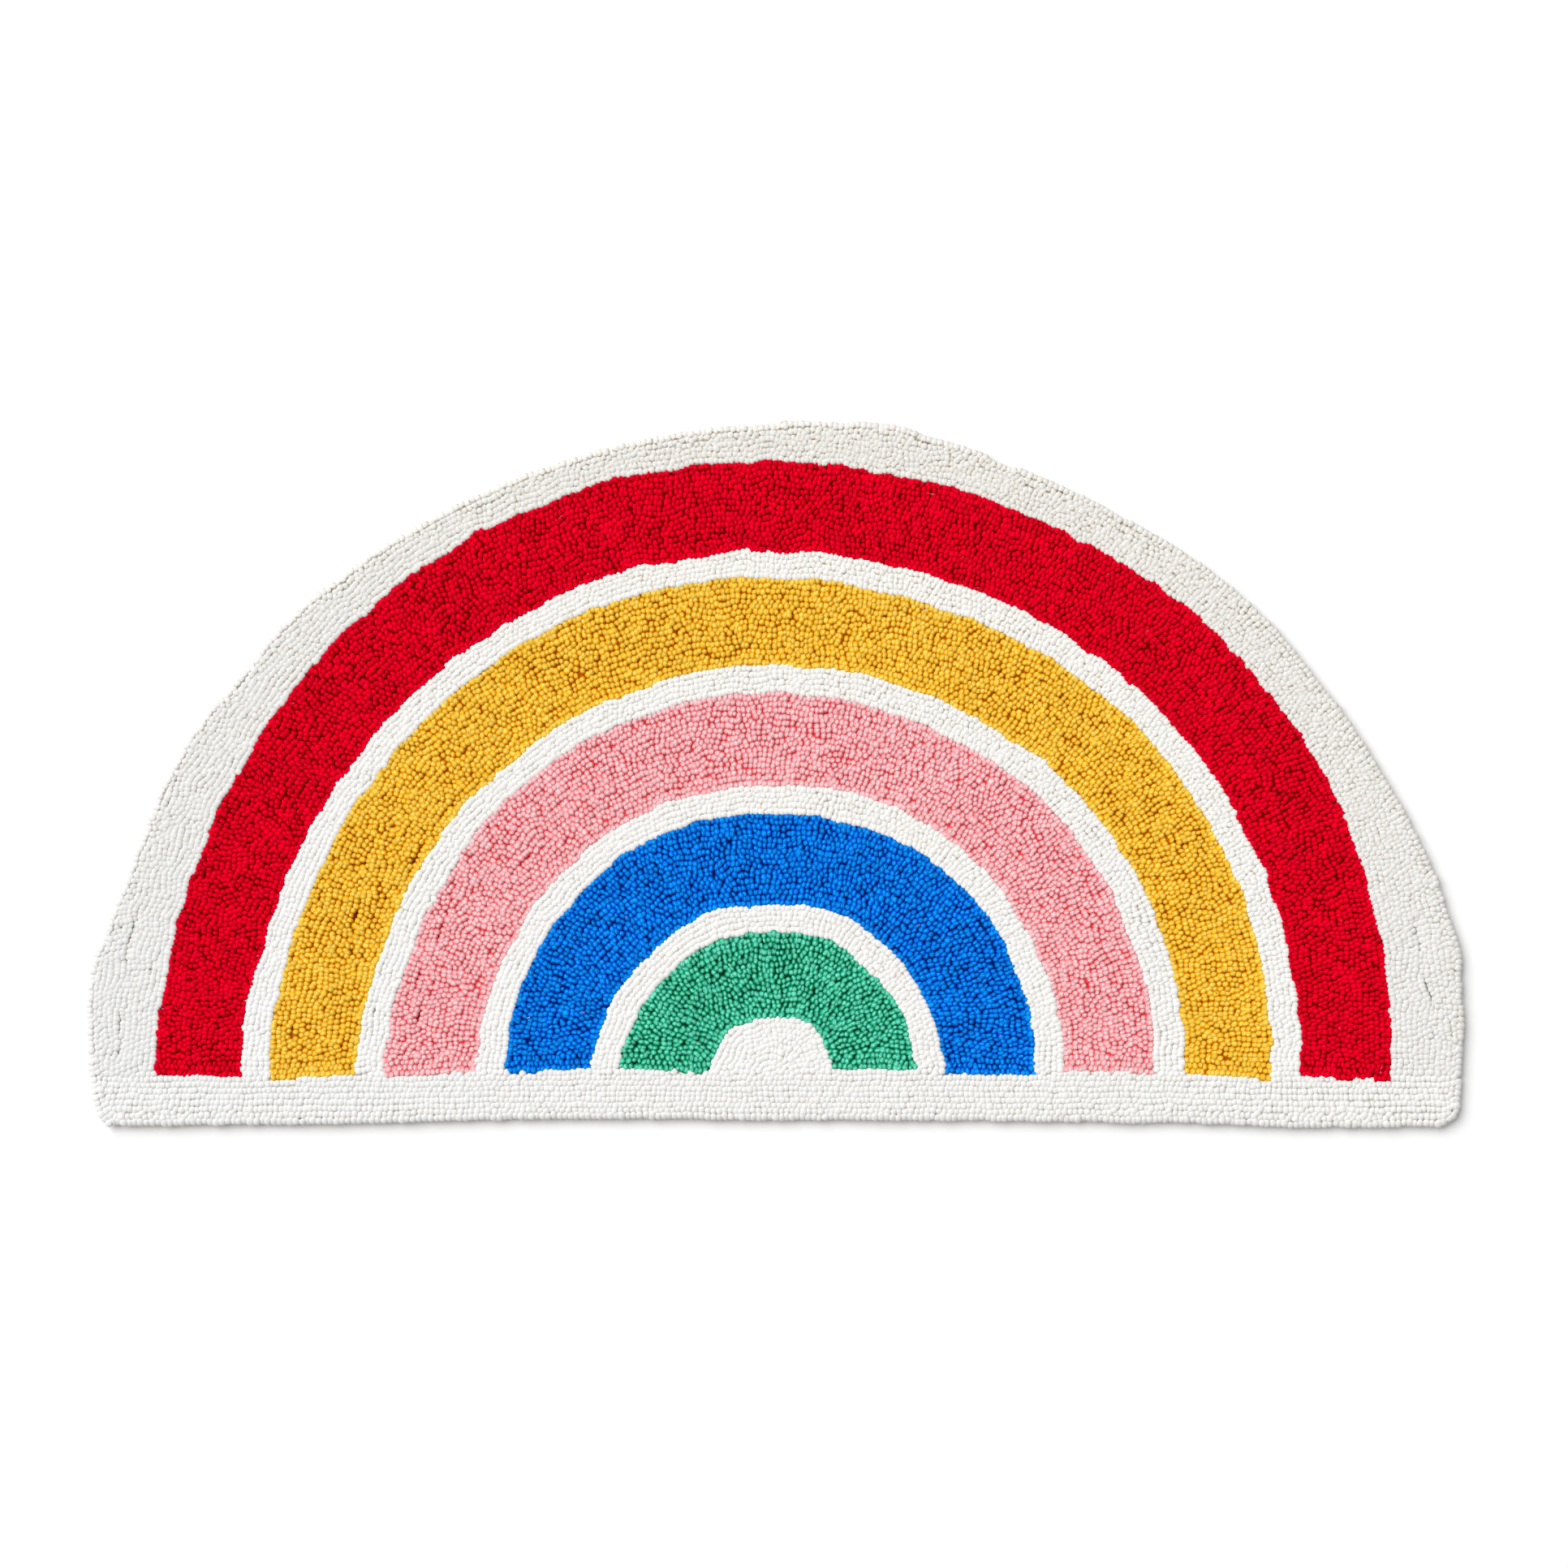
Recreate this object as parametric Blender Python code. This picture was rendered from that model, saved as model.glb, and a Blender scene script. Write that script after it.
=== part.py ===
"""A half-round hooked rug with five coloured arches, lying flat.

Metres, +Z up. The underside lies on z = 0, the straight edge runs along X on the -Y side and the
arches rise towards +Y. The origin is under the middle of the rug's bounding box.

The rug is one piece, so it is one closed solid: the thickness of the foundation cloth and the loop
pile together, with the hand-made outline, a soft pile shoulder all round and a slightly uneven top.
The colours are only painted on its faces, because the pile is equally high everywhere.
"""

import math

import bmesh
import bpy
from mathutils import Vector, noise

MM = 0.001

# Driving dimensions
THICKNESS = 9.0 * MM  # foundation cloth and pile together
SHOULDER = 4.5 * MM  # how far the outermost loops roll over at the top
UNDER_EDGE = 1.8 * MM  # how far the turned foundation draws in below
TOP_UNEVEN = 0.45 * MM  # rise and fall of the pile
TOP_WAVE = 60.0 * MM  # length of that rise and fall
EDGE_UNEVEN = 0.7 * MM  # wander of the outline between the measured places
EDGE_WAVE = 38.0 * MM

ARC_STEPS = 72  # steps round the half circle
SHOULDER_STEPS = 3
UNDER_STEPS = 1

# Reach of the outline from the rainbow's centre in mm, every 11.25 degrees from the right foot
# over the crown to the left foot.
OUTLINE_REACH = (456, 463, 454, 447, 445, 438, 435, 436, 432, 431, 431, 434, 441, 446, 448, 458, 454)

# The rings from the centre outwards. Columns: name, colour, steps across, and the reach of the
# ring's outer edge in mm every 22.5 degrees from the right foot to the left foot.
RINGS = (
    ("middle", "off_white", 1, (40, 40.5, 41, 40, 38, 39, 41.5, 41, 42)),
    ("green arch", "green", 2, (94.5, 94, 94, 96.5, 94.5, 97.5, 96.5, 98, 105)),
    ("gap under blue", "off_white", 1, (114, 112, 113.5, 115.5, 113, 116, 113.5, 117, 120)),
    ("blue arch", "blue", 2, (175, 175.5, 177, 175.5, 174, 176, 176, 177.5, 179.5)),
    ("gap under pink", "off_white", 1, (193, 193, 194.5, 195, 192.5, 193, 193.5, 195, 196.5)),
    ("pink arch", "pink", 2, (253, 255, 255.5, 253, 253, 254.5, 254.5, 254.5, 260)),
    ("gap under yellow", "off_white", 1, (273, 275, 275, 272, 272.5, 271.5, 271.5, 272, 276)),
    ("yellow arch", "mustard", 2, (332, 334, 334, 330, 330, 332, 331, 331, 336)),
    ("gap under red", "off_white", 1, (350, 352, 352.5, 347.5, 347.5, 348.5, 348, 348.5, 353)),
    ("red arch", "red", 2, (411, 417, 415.5, 408, 407.5, 409.5, 409.5, 408.5, 410.5)),
    ("border", "off_white", 2, OUTLINE_REACH),
)

# Depth of the base strip below the arches' feet in mm, at even steps of x from the left end to the
# right end of its lower edge.
HEM_HALF_LENGTH = 445.0 * MM
HEM_DEPTH = (33, 32.5, 31.4, 29, 28.4, 29.3, 29.2, 30.2, 31.3, 34.2, 33.4)

# The strip's two ends draw in to round corners. Columns: share of the depth, inset in mm.
CORNER = ((0.30, 0.4), (0.58, 1.8), (0.82, 5.0), (1.00, 12.0))

# Colour, roughness of each dyed yarn and of the foundation cloth under the rug
FINISHES = {
    "off_white": ((0.86, 0.85, 0.82), 0.90),
    "red": ((0.58, 0.002, 0.018), 0.85),
    "mustard": ((0.74, 0.38, 0.045), 0.85),
    "pink": ((0.91, 0.25, 0.30), 0.85),
    "blue": ((0.004, 0.095, 0.60), 0.85),
    "green": ((0.018, 0.33, 0.16), 0.85),
    "foundation": ((0.62, 0.54, 0.40), 0.95),
}


def clear_scene():
    for obj in list(bpy.data.objects):
        bpy.data.objects.remove(obj, do_unlink=True)


def finish_material(name):
    colour, roughness = FINISHES[name]
    material = bpy.data.materials.new(name)
    material.use_nodes = True
    shader = material.node_tree.nodes["Principled BSDF"]
    shader.inputs["Base Color"].default_value = (*colour, 1.0)
    shader.inputs["Roughness"].default_value = roughness
    shader.inputs["Metallic"].default_value = 0.0
    material.diffuse_color = (*colour, 1.0)
    return material


def smooth_value(values, share):
    """The value at a share from 0 to 1 of the way along evenly spaced values, on a smooth curve."""
    place = min(max(share, 0.0), 1.0) * (len(values) - 1)
    i = min(int(place), len(values) - 2)
    t = place - i
    before = values[max(i - 1, 0)]
    start, end = values[i], values[i + 1]
    after = values[min(i + 2, len(values) - 1)]
    slope = 0.5 * (end - before)
    next_slope = 0.5 * (after - start)
    rise = end - start
    return start + t * (slope + t * (3 * rise - 2 * slope - next_slope + t * (slope + next_slope - 2 * rise)))


def wander(x, y, wave, seed):
    """Smooth unevenness from -1 to 1."""
    return noise.noise(Vector((x / wave, y / wave, seed)))


def ring_reach(outer_values, share):
    return smooth_value(outer_values, share) * MM


def arch_point(reach, share):
    bearing = math.pi * share
    return Vector((reach * math.cos(bearing), reach * math.sin(bearing), 0.0))


def hem_depth(x):
    share = 0.5 + 0.5 * x / HEM_HALF_LENGTH
    return smooth_value(HEM_DEPTH, share) * MM


def ring_stations():
    """(reach values inside, reach values outside, share of the way out, colour) of each line of points."""
    stations = []
    inside = (0.0, 0.0)
    for _name, colour, steps, outside in RINGS:
        for step in range(1, steps + 1):
            stations.append((inside, outside, step / steps, colour))
        inside = outside
    return stations


def add_arch_points(bm, stations):
    """Points on every ring line, from the right foot to the left foot. The first line is the centre."""
    centre = bm.verts.new((0.0, 0.0, 0.0))
    lines = [[centre] * (ARC_STEPS + 1)]
    for inside, outside, share_out, _colour in stations:
        line = []
        for step in range(ARC_STEPS + 1):
            share = step / ARC_STEPS
            low, high = ring_reach(inside, share), ring_reach(outside, share)
            line.append(bm.verts.new(arch_point(low + (high - low) * share_out, share)))
        lines.append(line)
    return lines


def add_strip_points(bm, lines):
    """The base strip's points: its top row is the arches' feet, and its ends draw in to round corners."""
    left_feet = [line[-1] for line in reversed(lines[1:])]
    right_feet = [line[0] for line in lines[1:]]
    rows = [left_feet + [lines[0][0]] + right_feet]
    end = len(rows[0]) - 1
    for share, inset in CORNER:
        row = []
        for column, foot in enumerate(rows[0]):
            x = foot.co.x
            if column in (0, end):
                x -= math.copysign(inset * MM, x)
            row.append(bm.verts.new((x, -hem_depth(x) * share, 0.0)))
        rows.append(row)
    return rows


def add_face(bm, corners, colour):
    face = bm.faces.new(list(dict.fromkeys(corners)))
    face.material_index = list(FINISHES).index(colour)


def add_sheet(bm):
    """The rug's plan as one flat sheet of faces that follow the rings."""
    stations = ring_stations()
    lines = add_arch_points(bm, stations)
    for i, (_inside, _outside, _share, colour) in enumerate(stations):
        for j in range(ARC_STEPS):
            corners = (lines[i][j], lines[i + 1][j], lines[i + 1][j + 1], lines[i][j + 1])
            add_face(bm, corners, colour)
    rows = add_strip_points(bm, lines)
    for above, below in zip(rows, rows[1:]):
        for j in range(len(above) - 1):
            corners = (above[j], below[j], below[j + 1], above[j + 1])
            add_face(bm, corners, "off_white")


def boundary_points(bm):
    return {vert for edge in bm.edges if edge.is_boundary for vert in edge.verts}


def unsettle_outline(bm):
    """Lets the outline wander a little, as hand-hooked rows do."""
    for vert in boundary_points(bm):
        outwards = vert.co.normalized()
        vert.co += outwards * EDGE_UNEVEN * wander(vert.co.x, vert.co.y, EDGE_WAVE, 3.7)


def raise_pile(bm):
    """Gives the sheet its thickness and an uneven top, and leaves one flat face below."""
    underside = list(bm.faces)
    raised = bmesh.ops.extrude_face_region(bm, geom=underside)["geom"]
    for vert in (item for item in raised if isinstance(item, bmesh.types.BMVert)):
        vert.co.z = THICKNESS + TOP_UNEVEN * wander(vert.co.x, vert.co.y, TOP_WAVE, 9.1)
    bmesh.ops.dissolve_faces(bm, faces=underside, use_verts=False)
    bmesh.ops.recalc_face_normals(bm, faces=bm.faces)
    for face in bm.faces:
        if face.normal.z < -0.9:
            face.material_index = list(FINISHES).index("foundation")


def rim_edges(bm, above):
    """The edges where the side wall meets the top, or the underside."""
    found = []
    for edge in bm.edges:
        if len(edge.link_faces) != 2:
            continue
        flat = [face for face in edge.link_faces if abs(face.normal.z) > 0.5]
        wall = [face for face in edge.link_faces if abs(face.normal.z) < 0.5]
        if flat and wall and (flat[0].normal.z > 0) == above:
            found.append(edge)
    return found


def round_rim(bm):
    """Rolls the pile over at the top edge, and draws the turned foundation in below."""
    for above, width, steps in ((True, SHOULDER, SHOULDER_STEPS), (False, UNDER_EDGE, UNDER_STEPS)):
        bmesh.ops.bevel(
            bm,
            geom=rim_edges(bm, above),
            offset=width,
            segments=steps,
            profile=0.5,
            affect="EDGES",
            clamp_overlap=False,
        )


def centre_on_origin(bm):
    """Moves the rug so that the middle of its bounding box is on the Z axis."""
    xs = [vert.co.x for vert in bm.verts]
    ys = [vert.co.y for vert in bm.verts]
    shift = Vector((-(min(xs) + max(xs)) / 2, -(min(ys) + max(ys)) / 2, 0.0))
    bmesh.ops.translate(bm, verts=bm.verts, vec=shift)
    print(f"rainbow centre at x {shift.x * 1000:.2f} mm, y {shift.y * 1000:.2f} mm")


def make_rug():
    bm = bmesh.new()
    add_sheet(bm)
    unsettle_outline(bm)
    raise_pile(bm)
    round_rim(bm)
    centre_on_origin(bm)
    mesh = bpy.data.meshes.new("rug")
    bm.to_mesh(mesh)
    bm.free()
    for name in FINISHES:
        mesh.materials.append(finish_material(name))
    mesh.shade_smooth()
    mesh.set_sharp_from_angle(angle=math.radians(50))
    rug = bpy.data.objects.new("rug", mesh)
    bpy.context.scene.collection.objects.link(rug)
    return rug


def main():
    clear_scene()
    rug = make_rug()
    print("rug", [round(side * 1000, 1) for side in rug.dimensions], "mm")


main()
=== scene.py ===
# %% [markdown]
# # A half-round hooked rug
#
# A hooked rug is a cloth with yarn pulled up through it, one short loop beside the next, until the
# loops stand so close that they hide the cloth. This one shows five coloured arches on an off-white
# ground. The imported model holds the rug as one flat solid. Here that solid is dressed: a foundation
# cloth, and about 28,000 loops of yarn that stand on it in rows.
#
# The frame comes first, because everything is made around it.

# %% The imported rug
import math
import random
from collections import defaultdict

import bmesh
import bpy
import numpy as np
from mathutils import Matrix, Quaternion, Vector, kdtree, noise


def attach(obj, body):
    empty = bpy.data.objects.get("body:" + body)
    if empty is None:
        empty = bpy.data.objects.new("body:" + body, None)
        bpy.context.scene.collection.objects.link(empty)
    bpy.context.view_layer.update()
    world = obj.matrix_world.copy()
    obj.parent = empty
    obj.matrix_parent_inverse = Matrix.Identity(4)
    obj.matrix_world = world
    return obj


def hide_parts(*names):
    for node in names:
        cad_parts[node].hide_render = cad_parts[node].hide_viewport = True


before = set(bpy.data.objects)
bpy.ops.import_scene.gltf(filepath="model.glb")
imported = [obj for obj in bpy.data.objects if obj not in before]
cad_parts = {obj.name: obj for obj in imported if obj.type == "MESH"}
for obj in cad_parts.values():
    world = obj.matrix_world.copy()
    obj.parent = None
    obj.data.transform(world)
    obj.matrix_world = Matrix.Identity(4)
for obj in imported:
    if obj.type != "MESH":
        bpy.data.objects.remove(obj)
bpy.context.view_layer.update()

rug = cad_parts["rug"]
MM = 0.001

# %% [markdown]
# ## The view
#
# The photograph looks straight down. A long lens far away shows the edges of the pile nearly from
# above, as the photograph does. One pixel of the photograph is 0.54 mm on the rug, so the camera's
# height follows from the lens, and its place from the pixel where the arches have their centre.

# %% Camera
PHOTO_SIDE = 1932
PIXEL = 0.5389 * MM
RAINBOW = Vector((-1.64, -199.00, 0.0)) * MM
RAINBOW_PIXEL = (953, 1325)
PILE_TOP = 9.0 * MM
LENS, SENSOR = 85.0, 36.0

camera_x = RAINBOW.x + (PHOTO_SIDE / 2 - RAINBOW_PIXEL[0]) * PIXEL
camera_y = RAINBOW.y + (RAINBOW_PIXEL[1] - PHOTO_SIDE / 2) * PIXEL
camera_height = PILE_TOP + PHOTO_SIDE * PIXEL * LENS / SENSOR
bpy.ops.object.camera_add(location=(camera_x, camera_y, camera_height), rotation=(0, 0, 0))
camera = bpy.context.object
camera.data.lens = LENS
camera.data.sensor_width = SENSOR
bpy.context.scene.camera = camera
print("camera height", round(camera_height, 3), "m")

# %% [markdown]
# ## Floor and light
#
# The floor in the photograph is so bright that it is pure white, and only the thin shadow along the
# right and lower edges shows that there is a floor at all. A sun lamp with a wide disc stands for the
# big soft lamp at the upper left, and a white sky lights the shadow side.

# %% Floor, sun and sky
SUN_FROM = Vector((-1.5, 1.3, 2.35))
SUN_STRENGTH = 2.95
SUN_SIZE = math.radians(50)
SKY_STRENGTH = 0.34


def colour_of(red, green, blue):
    """A screen colour from 0 to 255 as the linear colour that Blender works with."""
    shares = (channel / 255 for channel in (red, green, blue))
    return tuple(s / 12.92 if s <= 0.04045 else ((s + 0.055) / 1.055) ** 2.4 for s in shares)


def put(tree, kind, settings=None, **wires):
    """Adds a node. A wire's name is the socket's, or in_3 for socket 3, and its value is a number,
    a colour or the socket to link from."""
    made = tree.nodes.new(kind)
    for name, value in (settings or {}).items():
        setattr(made, name, value)
    for name, value in wires.items():
        socket = made.inputs[int(name[3:]) if name.startswith("in_") else name.replace("_", " ")]
        if isinstance(value, bpy.types.NodeSocket):
            tree.links.new(value, socket)
        else:
            socket.default_value = value
    return made


def vector_math(tree, operation, a, b=(0.0, 0.0, 0.0), scale=1.0):
    return put(tree, "ShaderNodeVectorMath", {"operation": operation}, in_0=a, in_1=b, in_3=scale)


def spread(tree, value, low=0.0, high=1.0, start=0.0, end=1.0, kind="LINEAR"):
    """A node that maps a value from the range low to high to the range start to end."""
    made = put(tree, "ShaderNodeMapRange", {"interpolation_type": kind}, Value=value)
    for label, limit in (("From Min", low), ("From Max", high), ("To Min", start), ("To Max", end)):
        made.inputs[label].default_value = limit
    return made.outputs["Result"]


def new_material(name):
    material = bpy.data.materials.new(name)
    material.use_nodes = True
    return material, material.node_tree, material.node_tree.nodes["Principled BSDF"]


bpy.ops.mesh.primitive_plane_add(size=30)
floor = bpy.context.object
floor.name = "floor"
floor_paint, tree, shader = new_material("pale floor")
grain = put(tree, "ShaderNodeTexNoise", Scale=40.0, Detail=4.0)
tree.links.new(spread(tree, grain.outputs["Fac"], start=0.955, end=0.975), shader.inputs["Base Color"])
shader.inputs["Roughness"].default_value = 0.9
shader.inputs["Specular IOR Level"].default_value = 0.2
floor.data.materials.append(floor_paint)

bpy.ops.object.light_add(type="SUN", location=(0, 0, 2))
sun = bpy.context.object
sun.rotation_euler = SUN_FROM.to_track_quat("Z", "Y").to_euler()
sun.data.energy = SUN_STRENGTH
sun.data.angle = SUN_SIZE

world = bpy.data.worlds.new("sky")
bpy.context.scene.world = world
world.use_nodes = True
world.node_tree.nodes["Background"].inputs["Color"].default_value = (1.0, 1.0, 1.0, 1.0)
world.node_tree.nodes["Background"].inputs["Strength"].default_value = SKY_STRENGTH
bpy.context.scene.view_settings.view_transform = "Standard"

# %% [markdown]
# ## The plan of the rug
#
# The maker first draws the outline and the arches on the cloth. The drawing is a short table: how far
# each arch reaches from the centre of the rainbow, at nine bearings from the right foot to the left.
# These are the values that the solid was made from, so the loops stand exactly over it. The feet of
# the arches don't end on one line, so each has its own small table.

# %% Measures of the plan, in millimetres from the rainbow's centre
OUTLINE_REACH = (456, 463, 454, 447, 445, 438, 435, 436, 432, 431, 431, 434, 441, 446, 448, 458, 454)
RINGS = (
    ("middle", (40, 40.5, 41, 40, 38, 39, 41.5, 41, 42)),
    ("green arch", (94.5, 94, 94, 96.5, 94.5, 97.5, 96.5, 98, 105)),
    ("gap under blue", (114, 112, 113.5, 115.5, 113, 116, 113.5, 117, 120)),
    ("blue arch", (175, 175.5, 177, 175.5, 174, 176, 176, 177.5, 179.5)),
    ("gap under pink", (193, 193, 194.5, 195, 192.5, 193, 193.5, 195, 196.5)),
    ("pink arch", (253, 255, 255.5, 253, 253, 254.5, 254.5, 254.5, 260)),
    ("gap under yellow", (273, 275, 275, 272, 272.5, 271.5, 271.5, 272, 276)),
    ("yellow arch", (332, 334, 334, 330, 330, 332, 331, 331, 336)),
    ("gap under red", (350, 352, 352.5, 347.5, 347.5, 348.5, 348, 348.5, 353)),
    ("red arch", (411, 417, 415.5, 408, 407.5, 409.5, 409.5, 408.5, 410.5)),
    ("border", OUTLINE_REACH),
)
RING_NAMES = [name for name, _reach in RINGS]

# Height of each arch's feet above the base line: left outer, left inner, right inner, right outer
FEET = {
    "green arch": (4.3, 1.6, 4.3, 2.7),
    "blue arch": (1.6, 3.5, 1.6, -1.1),
    "pink arch": (-2.2, 2.2, 2.7, 1.1),
    "yellow arch": (-3.5, 0.5, 1.1, -2.7),
    "red arch": (0.0, -1.6, -1.1, -4.3),
}

HEM_HALF_LENGTH = 445.0
HEM_DEPTH = (33, 32.5, 31.4, 29, 28.4, 29.3, 29.2, 30.2, 31.3, 34.2, 33.4)
# The strip's ends, as share of the depth and inset
LEFT_CORNER = ((0.30, 1.4), (0.58, 3.2), (0.85, 6.4), (1.00, 12.0))
RIGHT_CORNER = ((0.30, -0.2), (0.68, 0.0), (0.87, 3.8), (1.00, 11.0))

EDGE_UNEVEN, EDGE_WAVE = 0.7, 38.0  # the outline's wander
RAGGED = ((0.9, 8.0), (0.4, 27.0))  # wander of the edges between two colours, and its wave
TOOTH, TOOTH_WAVE = 1.2, 30.0  # the steps in those edges, where a row begins or ends
TOOTH_SHARE = 1.6  # above 0.5: how much of an edge has a step
RING_APART = 37.0  # keeps the unevenness of one ring from repeating in the next

# Where the outline draws in or bulges: bearing in degrees, half the width in degrees, push outwards
BULGES = (
    (4.3, 1.4, 0.5),
    (7.4, 1.4, -1.2),
    (13.8, 2.2, -1.7),
    (69.5, 1.2, -2.2),
    (80.5, 3.0, 2.4),
    (87.0, 3.0, 1.6),
    (120.0, 9.0, 0.7),
    (142.8, 3.2, -2.2),
    (152.5, 3.6, 1.7),
    (160.2, 1.3, 1.7),
    (163.8, 5.4, -3.6),
    (164.6, 1.6, -1.0),
    (175.0, 3.0, 0.8),
)


def smooth_value(values, share):
    """The value at a share from 0 to 1 of the way along evenly spaced values, on a smooth curve."""
    place = min(max(share, 0.0), 1.0) * (len(values) - 1)
    i = min(int(place), len(values) - 2)
    t = place - i
    before = values[max(i - 1, 0)]
    start, end = values[i], values[i + 1]
    after = values[min(i + 2, len(values) - 1)]
    slope = 0.5 * (end - before)
    next_slope = 0.5 * (after - start)
    rise = end - start
    square = 3 * rise - 2 * slope - next_slope
    cube = slope + next_slope - 2 * rise
    return start + t * (slope + t * (square + t * cube))


def wander(x, y, wave, seed):
    """Smooth unevenness from -1 to 1. Each use has a seed of its own."""
    return noise.noise(Vector((x / wave, y / wave, seed)))


def ring_edge(index, share):
    """Reach of the outer edge of a ring, ragged by about a quarter of a loop and with a few steps."""
    if index < 0:
        return 0.0
    reach = smooth_value(RINGS[index][1], share)
    if index == len(RINGS) - 1:
        return reach
    along = math.pi * share * reach
    reach += TOOTH * round(TOOTH_SHARE * wander(along, RING_APART * index, TOOTH_WAVE, 14.6))
    return reach + sum(size * wander(along, RING_APART * index, wave, 2.3) for size, wave in RAGGED)


def hem_depth(x):
    return smooth_value(HEM_DEPTH, 0.5 + 0.5 * x / HEM_HALF_LENGTH)


print("rings", ", ".join(RING_NAMES))

# %% [markdown]
# ## Outline and colour areas
#
# Two questions come up for every loop: how far is it from the rug's edge, and which colour is its
# yarn? The outline is walked once all round, and its points go into a search tree that answers the
# first. A short function answers the second from the bearing and the distance to the centre.

# %% Outline, feet and areas
ARC_POINTS = 1440
HEM_STEP = 4.0  # mm between the outline's points on the base edge
PITCH_UNEVEN, PITCH_WAVE = 0.12, 11.0


def polar(reach, share):
    return (reach * math.cos(math.pi * share), reach * math.sin(math.pi * share))


def bulge(share):
    """How far the rug's edge bulges out over the arches. Each bulge has a flat top and short ends."""
    at = share * 180
    return sum(push * math.exp(-(((at - bearing) / half) ** 8)) for bearing, half, push in BULGES)


def outline_points():
    """Points round the edge: right foot, crown, left foot, and back along the base strip."""
    shares = [step / ARC_POINTS for step in range(ARC_POINTS + 1)]
    points = [polar(smooth_value(OUTLINE_REACH, share) + bulge(share), share) for share in shares]
    left, right = -OUTLINE_REACH[-1], OUTLINE_REACH[0]
    points += [(left + inset, -hem_depth(left) * share) for share, inset in LEFT_CORNER]
    start, end = left + LEFT_CORNER[-1][1] + HEM_STEP, right - RIGHT_CORNER[-1][1] - 3.0
    points += [(x, -hem_depth(x)) for x in np.arange(start, end, HEM_STEP)]
    points += [(right - inset, -hem_depth(right) * share) for share, inset in reversed(RIGHT_CORNER)]
    points.append(points[0])
    settled = []
    for x, y in points:
        out = EDGE_UNEVEN * wander(x, y, EDGE_WAVE, 3.7) / math.hypot(x, y)
        settled.append((x * (1 + out), y * (1 + out)))
    return settled


def walk(points, pitch, first=0.0):
    """Places about every pitch along a line of points, with the heading there."""
    left = first
    for (x0, y0), (x1, y1) in zip(points, points[1:]):
        length = math.hypot(x1 - x0, y1 - y0)
        while left < length:
            share = left / length
            x, y = x0 + (x1 - x0) * share, y0 + (y1 - y0) * share
            yield x, y, math.atan2(y1 - y0, x1 - x0)
            left += pitch * (1 + PITCH_UNEVEN * wander(x, y, PITCH_WAVE, 5.5))
        left -= length


OUTLINE = outline_points()
edge_places = list(walk(OUTLINE, 1.0))
edge_tree = kdtree.KDTree(len(edge_places))
for i, (x, y, _heading) in enumerate(edge_places):
    edge_tree.insert((x, y, 0.0), i)
edge_tree.balance()


def inside_by(x, y):
    """How far a place is inside the outline. The outline is walked with the rug on the left."""
    near, i, away = edge_tree.find((x, y, 0.0))
    heading = edge_places[i][2]
    side = math.cos(heading) * (y - near[1]) - math.sin(heading) * (x - near[0])
    return math.copysign(away, side)


def foot_line(x):
    """Height above the base line where the arches' feet end. Between the arches it is 0."""
    left = x < 0
    share = 1.0 if left else 0.0
    for name, (left_outer, left_inner, right_inner, right_outer) in FEET.items():
        index = RING_NAMES.index(name)
        inner, outer = ring_edge(index - 1, share), ring_edge(index, share)
        if inner <= abs(x) <= outer:
            across = (abs(x) - inner) / (outer - inner)
            start, end = (left_inner, left_outer) if left else (right_inner, right_outer)
            return start + (end - start) * across
    return 0.0


def zone_at(x, y):
    """The name of the area that a place lies in."""
    if y < foot_line(x):
        return "base strip"
    share = math.atan2(y, x) / math.pi if y > 0 else float(x < 0)
    reach = math.hypot(x, max(y, 0.0))
    for index, name in enumerate(RING_NAMES):
        if reach < ring_edge(index, share):
            return name
    return "border"


print("outline", round(len(edge_places) / 1000, 2), "m round")

# %% [markdown]
# ## Rows of loops
#
# A hooker works in rows. The outline comes first, in two rows right round the edge. Each arch gets a
# few rows along its feet and then fills up with rows that follow the arch. The off-white ground
# follows the arches too, and the strip below them has eight straight rows.
#
# Each new loop is kept only where there is room for it. Where rows meet at an angle some room stays,
# and a last pass puts single loops there, as a hooker does by eye. Two things then take the rows out
# of line, as on the real rug: they swirl a little, and packed loops press each other apart.

# %% Placing the loops
ROW, STITCH = 3.6, 3.35  # distance between rows, and between the loops of one row
ROW_UNEVEN = 0.45  # how far a row strays from its line
EDGE_ROWS = (1.6, 5.3)  # how far the two outline rows are from the edge
EDGE_STITCH = 3.8
SCALLOP, SCALLOP_WAVE = 0.9, 9.0  # how far the outline rows bulge in and out
LEAST_GAP = 2.5  # no two loops are closer
FILL_GAP = 2.65  # single loops go in where there is this much room
FOOT_ROWS = 3
HEM_ROWS = 8
HEM_UNEVEN = 0.3  # how far the base strip's rows stray
BORDER_CLEAR, HEM_CLEAR = 0.62, 0.6  # share of a row that stays free beside the outline rows
BORDER_ROWS = 14  # more than fit, the outline cuts them off
MOST_ABREAST = 4  # rows whose loops stand abreast of each other
CROWDED, PRESS, PRESSES = 4.5, 0.09, 8  # loops closer than this press each other apart
SWIRL_WAVE, SWIRL_PUSH = 24.0, 40.0  # size of the swirls in the rows, and their strength
WIDE = 40.0  # the swirls are weaker in an area that is narrower than this
CALM_FEET, CALM_END = 8.0, 22.0  # mm above the base line where the swirls begin, and are full
chance = random.Random(36)
loops = []
neighbours = defaultdict(list)


def room_for(x, y, gap):
    column, row = int(x // 4), int(y // 4)
    for i in (column - 1, column, column + 1):
        for j in (row - 1, row, row + 1):
            for a, b in neighbours[i, j]:
                if (a - x) ** 2 + (b - y) ** 2 < gap * gap:
                    return False
    return True


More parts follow.
